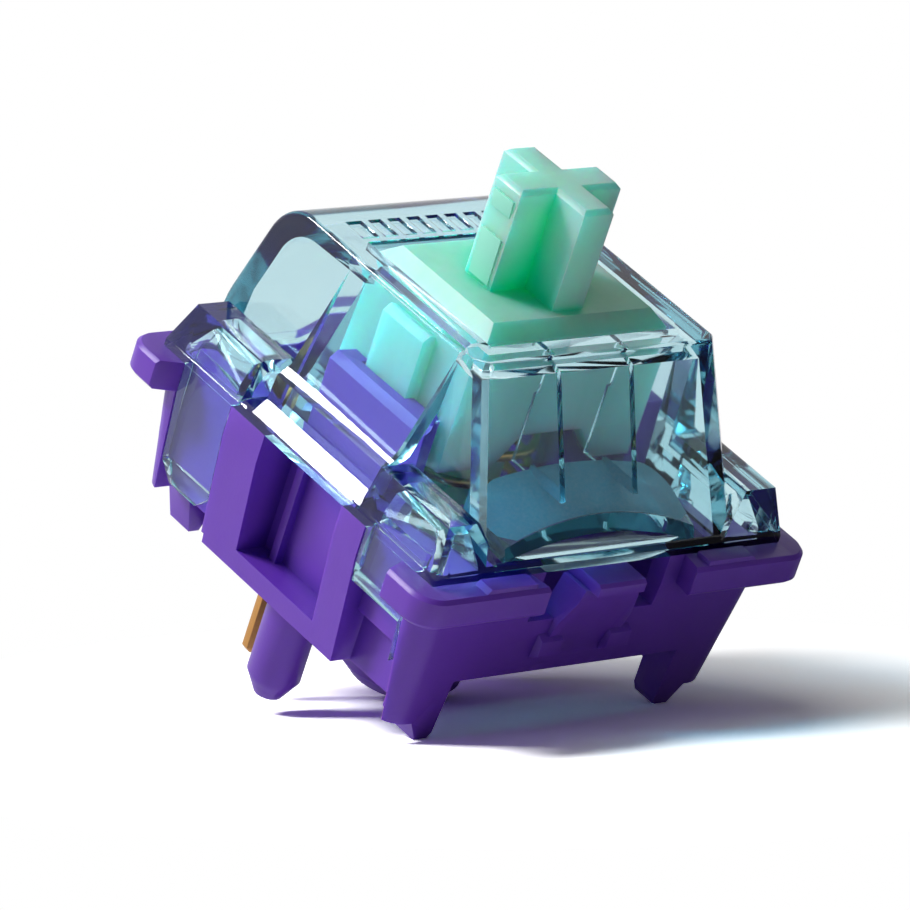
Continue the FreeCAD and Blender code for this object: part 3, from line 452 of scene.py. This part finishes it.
def grip_ledge(side, low, high):
    """A long bump on an end face of the cross: it swells upwards to a small ledge for a keycap."""
    proud = bpy.context.scene.switch_sizes.grip_proud
    face = side * CROSS_HALF
    depth = proud + GRIP_ROOT
    middle = (low + high) / 2
    bpy.ops.object.select_all(action="DESELECT")
    bpy.ops.mesh.primitive_cube_add(size=1, location=(face + side * (depth / 2 - GRIP_ROOT), 0, middle))
    ledge = bpy.context.object
    ledge.scale = (depth, 2 * GRIP_HALF_Y, high - low)
    bpy.ops.object.transform_apply(location=True, rotation=True, scale=True)
    bpy.ops.object.mode_set(mode="EDIT")
    mesh = bmesh.from_edit_mesh(ledge.data)
    outer = face + side * (proud - GRIP_EDGE)
    pick(mesh, lambda co: side * (co.x - outer) > 0 and co.z < middle)
    bmesh.update_edit_mesh(ledge.data)
    bpy.ops.transform.translate(value=(-side * proud * GRIP_LEAN, 0, 0))
    bpy.ops.mesh.select_all(action="SELECT")
    bpy.ops.mesh.bevel(offset=GRIP_EDGE, segments=2, affect="EDGES")
    bpy.ops.object.mode_set(mode="OBJECT")
    bpy.ops.object.shade_smooth_by_angle(angle=math.radians(40))
    return ledge


def ejector_mark(place, radius):
    """The ring that an ejector pin leaves under the lower housing, a little proud of it."""
    bpy.ops.object.select_all(action="DESELECT")
    bpy.ops.mesh.primitive_cylinder_add(vertices=32, radius=radius, depth=2 * MARK_DEEP, location=place)
    mark = bpy.context.object
    bpy.ops.object.transform_apply(location=True, rotation=True, scale=True)
    bpy.ops.object.mode_set(mode="EDIT")
    mesh = bmesh.from_edit_mesh(mark.data)
    bpy.ops.mesh.select_all(action="DESELECT")
    for face in mesh.faces:
        face.select = face.normal.z < -0.9
    bmesh.update_edit_mesh(mark.data)
    bpy.ops.mesh.inset(thickness=radius * MARK_RING)
    bpy.ops.transform.translate(value=(0, 0, MARK_DEEP * MARK_DIP))
    bpy.ops.mesh.inset(thickness=radius * MARK_STEP)
    bpy.ops.object.mode_set(mode="OBJECT")
    bpy.ops.object.shade_smooth_by_angle(angle=math.radians(30))
    return mark


class SWITCH_OT_lower_housing(bpy.types.Operator):
    """Finishes the violet lower housing and adds its ejector pin marks"""
    bl_idname = "keyswitch.lower_housing"
    bl_label = "Lower housing"

    def execute(self, context):
        sizes = context.scene.switch_sizes
        colours = context.scene.switch_colours
        nylon = spark_textured_nylon((colours.nylon, colours.nylon_deep, colours.nylon_painted_shade))
        housing = NODES["bottom_housing"]
        wear(housing, nylon)
        soften(housing, sizes.nylon_edge)
        for number, (x, y) in enumerate(MARK_PLACES, 1):
            mark = ejector_mark((x, y, UNDERSIDE), sizes.mark_radius)
            settle(mark, f"ejector_mark_{number}", "housing", nylon)
        return {"FINISHED"}


class SWITCH_OT_upper_housing(bpy.types.Operator):
    """Finishes the clear upper housing"""
    bl_idname = "keyswitch.upper_housing"
    bl_label = "Upper housing"

    def execute(self, context):
        colours = context.scene.switch_colours
        housing = NODES["top_housing"]
        wear(housing, clear_polycarbonate(colours.clear, colours.frosted))
        soften(housing, context.scene.switch_sizes.clear_edge)
        return {"FINISHED"}


class SWITCH_OT_stem(bpy.types.Operator):
    """Finishes the stem and adds the bumps on its cross that grip a keycap"""
    bl_idname = "keyswitch.stem"
    bl_label = "Stem"

    def execute(self, context):
        colours = context.scene.switch_colours
        mint, deep, painted_shade_colour = colours.mint, colours.mint_deep, colours.mint_painted_shade
        acetal = moulded_acetal("Mint acetal", (mint, deep, painted_shade_colour), 1.0)
        thin = moulded_acetal("Mint acetal, thin ledge", (deep, deep, painted_shade_colour), 0.0)
        stem = NODES["stem"]
        wear(stem, acetal)
        soften(stem, context.scene.switch_sizes.stem_edge)
        for side, name in ((-1, "west"), (1, "east")):
            for number, (low, high) in enumerate(GRIP_LEVELS, 1):
                ledge = grip_ledge(side, low, high)
                settle(ledge, f"grip_ledge_{name}_{number}", "slider", thin)
        return {"FINISHED"}


class SWITCH_OT_spring(bpy.types.Operator):
    """Winds the return spring, with a closed turn at each end"""
    bl_idname = "keyswitch.spring"
    bl_label = "Spring"

    def execute(self, context):
        sizes = context.scene.switch_sizes
        low, high = SPRING_BOX[0].z, SPRING_BOX[1].z
        closed = sizes.wire * CLOSED_RISE
        rise = (high - low - sizes.wire - 2 * closed) / sizes.turns
        bpy.ops.curve.primitive_nurbs_path_add(location=(0, 0, 0))
        coil = context.object
        coil.data.splines.clear()
        line = coil.data.splines.new("NURBS")
        line.points.add((sizes.turns + 2) * COIL_STEPS)
        for k, point in enumerate(line.points):
            turn = k / COIL_STEPS
            first, last = min(turn, 1), max(turn - 1 - sizes.turns, 0)
            between = min(max(turn - 1, 0), sizes.turns)
            angle = 2 * math.pi * turn
            x, y = sizes.coil_radius * math.cos(angle), sizes.coil_radius * math.sin(angle)
            z = low + sizes.wire / 2 + (closed * first + rise * between + closed * last)
            point.co = (x, y, z, 1)
        line.order_u = 4
        line.use_endpoint_u = True
        line.resolution_u = 3
        coil.data.bevel_depth = sizes.wire / 2
        coil.data.bevel_resolution = 3
        coil.data.use_fill_caps = True
        only(coil)
        bpy.ops.object.convert(target="MESH")
        bpy.ops.object.shade_smooth_by_angle(angle=math.radians(50))
        plating = context.scene.switch_colours.steel
        steel = rolled_metal(
            "Copper-flashed spring steel", plating, linear("#b9804c"), (0.16, 0.32), (1, 1, 1))
        settle(context.object, "spring_coil", "housing", steel)
        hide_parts("spring")
        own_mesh(context.object)
        return {"FINISHED"}


class SWITCH_OT_contacts(bpy.types.Operator):
    """Finishes the stamped contacts, the leaf and the contact points"""
    bl_idname = "keyswitch.contacts"
    bl_label = "Contacts"

    def execute(self, context):
        colours = context.scene.switch_colours
        brass = rolled_metal(
            "Stamped brass sheet", colours.brass, linear("#b37c45"), (0.24, 0.40), (1, 1, 0.12))
        copper = rolled_metal(
            "Rolled copper leaf", colours.copper, linear("#b26c3c"), (0.20, 0.36), (0.12, 1, 1))
        gold = rolled_metal(
            "Gold contact wire", colours.gold, linear("#cfa347"), (0.14, 0.30), (1, 1, 1))
        finishes = {
            "fixed_contact": brass,
            "moving_contact_terminal": brass,
            "moving_contact_leaf": copper,
            "fixed_contact_point": gold,
            "moving_contact_point": gold,
        }
        for name, metal in finishes.items():
            wear(NODES[name], metal)
            soften(NODES[name], context.scene.switch_sizes.sheet_edge)
        return {"FINISHED"}


# Stage


def light_at(name, direction, distance, size, power):
    """A square softbox that faces the switch from a direction."""
    bpy.ops.object.light_add(type="AREA", location=AIM + direction.normalized() * distance)
    lamp = bpy.context.object
    lamp.name = name
    lamp.rotation_mode = "QUATERNION"
    lamp.rotation_quaternion = direction.to_track_quat("Z", "Y")
    lamp.data.shape = "SQUARE"
    lamp.data.size = size
    lamp.data.energy = power


def studio_rays(tree, way):
    """How a ray with a direction finds the studio.

    Gives the Light Path outputs, a 1 for the rays that see the white background, and the
    brightness that the ray finds there, which falls towards the dark side if it is mirrored.
    """
    ray = add_node(tree, "ShaderNodeLightPath", {}).outputs
    seen = add_node(tree, "ShaderNodeMath", {
        0: ray["Is Camera Ray"], 1: ray["Is Glossy Ray"]}, operation="ADD")
    seen = add_node(tree, "ShaderNodeMath", {
        0: seen.outputs[0], 1: ray["Is Transmission Ray"]}, operation="ADD", use_clamp=True)
    towards = add_node(tree, "ShaderNodeVectorMath", {0: way, 1: DARK_SIDE}, operation="DOT_PRODUCT")
    dim = add_node(tree, "ShaderNodeMapRange", {
        "Value": towards.outputs["Value"],
        "From Min": 0.0, "From Max": DARK_FROM, "To Min": 1.0, "To Max": DARK_LEVEL})
    mirrored = add_node(tree, "ShaderNodeMath", {
        0: ray["Is Glossy Ray"], 1: ray["Is Transmission Ray"]}, operation="GREATER_THAN")
    shine = add_node(tree, "ShaderNodeMix", {
        "Factor": mirrored.outputs[0], "A": 1.0, "B": dim.outputs["Result"]}, data_type="FLOAT")
    return ray, seen.outputs[0], shine.outputs["Result"]


class SWITCH_OT_stage(bpy.types.Operator):
    """Sets the floor, the soft studio light and the camera"""
    bl_idname = "keyswitch.stage"
    bl_label = "Stage"

    def execute(self, context):
        self.floor()
        self.room()
        away = FLOOR_UP.cross(CAMERA_RIGHT)
        for name, (right, far, up), distance, size, power in SOFTBOXES:
            direction = right * CAMERA_RIGHT + far * away + up * FLOOR_UP
            light_at(name, direction, distance, size, power)
        self.camera()
        context.scene.view_settings.view_transform = "Standard"
        context.scene.cycles.max_bounces = BOUNCES
        context.scene.cycles.glossy_bounces = BOUNCES
        context.scene.cycles.transmission_bounces = BOUNCES
        return {"FINISHED"}

    def floor(self):
        bpy.ops.mesh.primitive_circle_add(
            vertices=64, radius=FLOOR_RADIUS, fill_type="NGON", location=FLOOR_POINT)
        floor = bpy.context.object
        floor.name = "floor"
        floor.rotation_mode = "QUATERNION"
        floor.rotation_quaternion = FLOOR_UP.to_track_quat("Z", "Y")
        material, tree = new_material("White paper floor")
        place = add_node(tree, "ShaderNodeTexCoord", {}).outputs["Object"]
        away = add_node(tree, "ShaderNodeVectorMath", {0: place}, operation="LENGTH")
        fade = add_node(tree, "ShaderNodeMapRange", {
            "Value": away.outputs["Value"], "From Min": FLOOR_FADE[0], "From Max": FLOOR_FADE[1]})
        spot = add_node(tree, "ShaderNodeNewGeometry", {}).outputs
        way = add_node(tree, "ShaderNodeVectorMath", {0: spot["Position"]}, operation="NORMALIZE")
        ray, seen, shine = studio_rays(tree, way.outputs["Vector"])
        lit = add_node(tree, "ShaderNodeMix", {
            "Factor": seen, "A": grey(PAPER_LIT), "B": grey(PAPER_MIRRORED)}, data_type="RGBA")
        white = add_node(tree, "ShaderNodeMix", {
            "Factor": ray["Is Camera Ray"], "A": lit.outputs["Result"], "B": grey(PAPER_SHOWN)},
            data_type="RGBA")
        paper = add_node(tree, "ShaderNodeBsdfDiffuse", {"Color": white.outputs["Result"]})
        backdrop = add_node(tree, "ShaderNodeEmission", {"Color": grey(1.0), "Strength": shine})
        beyond = add_node(tree, "ShaderNodeMath", {0: fade.outputs["Result"], 1: seen}, operation="MULTIPLY")
        shown = add_node(tree, "ShaderNodeMixShader", {
            0: beyond.outputs[0], 1: paper.outputs[0], 2: backdrop.outputs[0]})
        below = add_node(tree, "ShaderNodeBsdfTransparent", {})
        both = add_node(tree, "ShaderNodeMixShader", {
            0: spot["Backfacing"], 1: shown.outputs[0], 2: below.outputs[0]})
        add_node(tree, "ShaderNodeOutputMaterial", {"Surface": both.outputs[0]})
        wear(floor, material)

    def room(self):
        world = bpy.data.worlds.new("Studio")
        bpy.context.scene.world = world
        world.use_nodes = True
        tree = world.node_tree
        tree.nodes.clear()
        way = add_node(tree, "ShaderNodeTexCoord", {}).outputs["Generated"]
        ray, seen, shine = studio_rays(tree, way)
        dull = add_node(tree, "ShaderNodeMapRange", {
            "Value": ray["Diffuse Depth"], "To Min": 1.0, "To Max": AFTER_DULL})
        white = add_node(tree, "ShaderNodeMath", {0: seen, 1: dull.outputs["Result"]}, operation="MULTIPLY")
        level = add_node(tree, "ShaderNodeMapRange", {
            "Value": white.outputs[0], "To Min": ROOM_LEVEL, "To Max": 1.0})
        lit = add_node(tree, "ShaderNodeMath", {0: level.outputs["Result"], 1: shine}, operation="MULTIPLY")
        light = add_node(tree, "ShaderNodeBackground", {"Color": grey(1.0), "Strength": lit.outputs[0]})
        add_node(tree, "ShaderNodeOutputWorld", {"Surface": light.outputs[0]})

    def camera(self):
        bpy.ops.object.camera_add(location=CAMERA_PLACE)
        camera = bpy.context.object
        camera.name = "Photograph camera"
        right = CAMERA_RIGHT.normalized()
        back = right.cross(CAMERA_UP).normalized()
        up = back.cross(right)
        camera.rotation_mode = "QUATERNION"
        camera.rotation_quaternion = Matrix((right, up, back)).transposed().to_quaternion()
        camera.data.sensor_width = CAMERA_SENSOR
        camera.data.lens = CAMERA_LENS
        camera.data.clip_start = 0.01
        camera.data.clip_end = 5.0
        bpy.context.scene.camera = camera


class SWITCH_PT_panel(bpy.types.Panel):
    """Lists the steps that dress the switch"""
    bl_idname = "SWITCH_PT_panel"
    bl_label = "Keyboard switch"
    bl_space_type = "VIEW_3D"
    bl_region_type = "UI"
    bl_category = "Switch"

    def draw(self, context):
        for group in (context.scene.switch_sizes, context.scene.switch_colours):
            column = self.layout.column(align=True)
            for name in group.__annotations__:
                column.prop(group, name)
        for step in STEPS:
            self.layout.operator(step.bl_idname)


STEPS = (
    SWITCH_OT_stage,
    SWITCH_OT_lower_housing,
    SWITCH_OT_upper_housing,
    SWITCH_OT_stem,
    SWITCH_OT_spring,
    SWITCH_OT_contacts,
)
CLASSES = (SwitchSizes, SwitchColours, *STEPS, SWITCH_PT_panel)


def register():
    for kind in CLASSES:
        bpy.utils.register_class(kind)
    bpy.types.Scene.switch_sizes = PointerProperty(type=SwitchSizes)
    bpy.types.Scene.switch_colours = PointerProperty(type=SwitchColours)


def unregister():
    del bpy.types.Scene.switch_colours
    del bpy.types.Scene.switch_sizes
    for kind in reversed(CLASSES):
        bpy.utils.unregister_class(kind)


def main():
    register()
    bpy.ops.keyswitch.stage()
    bpy.ops.keyswitch.lower_housing()
    bpy.ops.keyswitch.upper_housing()
    bpy.ops.keyswitch.stem()
    bpy.ops.keyswitch.spring()
    bpy.ops.keyswitch.contacts()


if __name__ == "__main__":
    main()
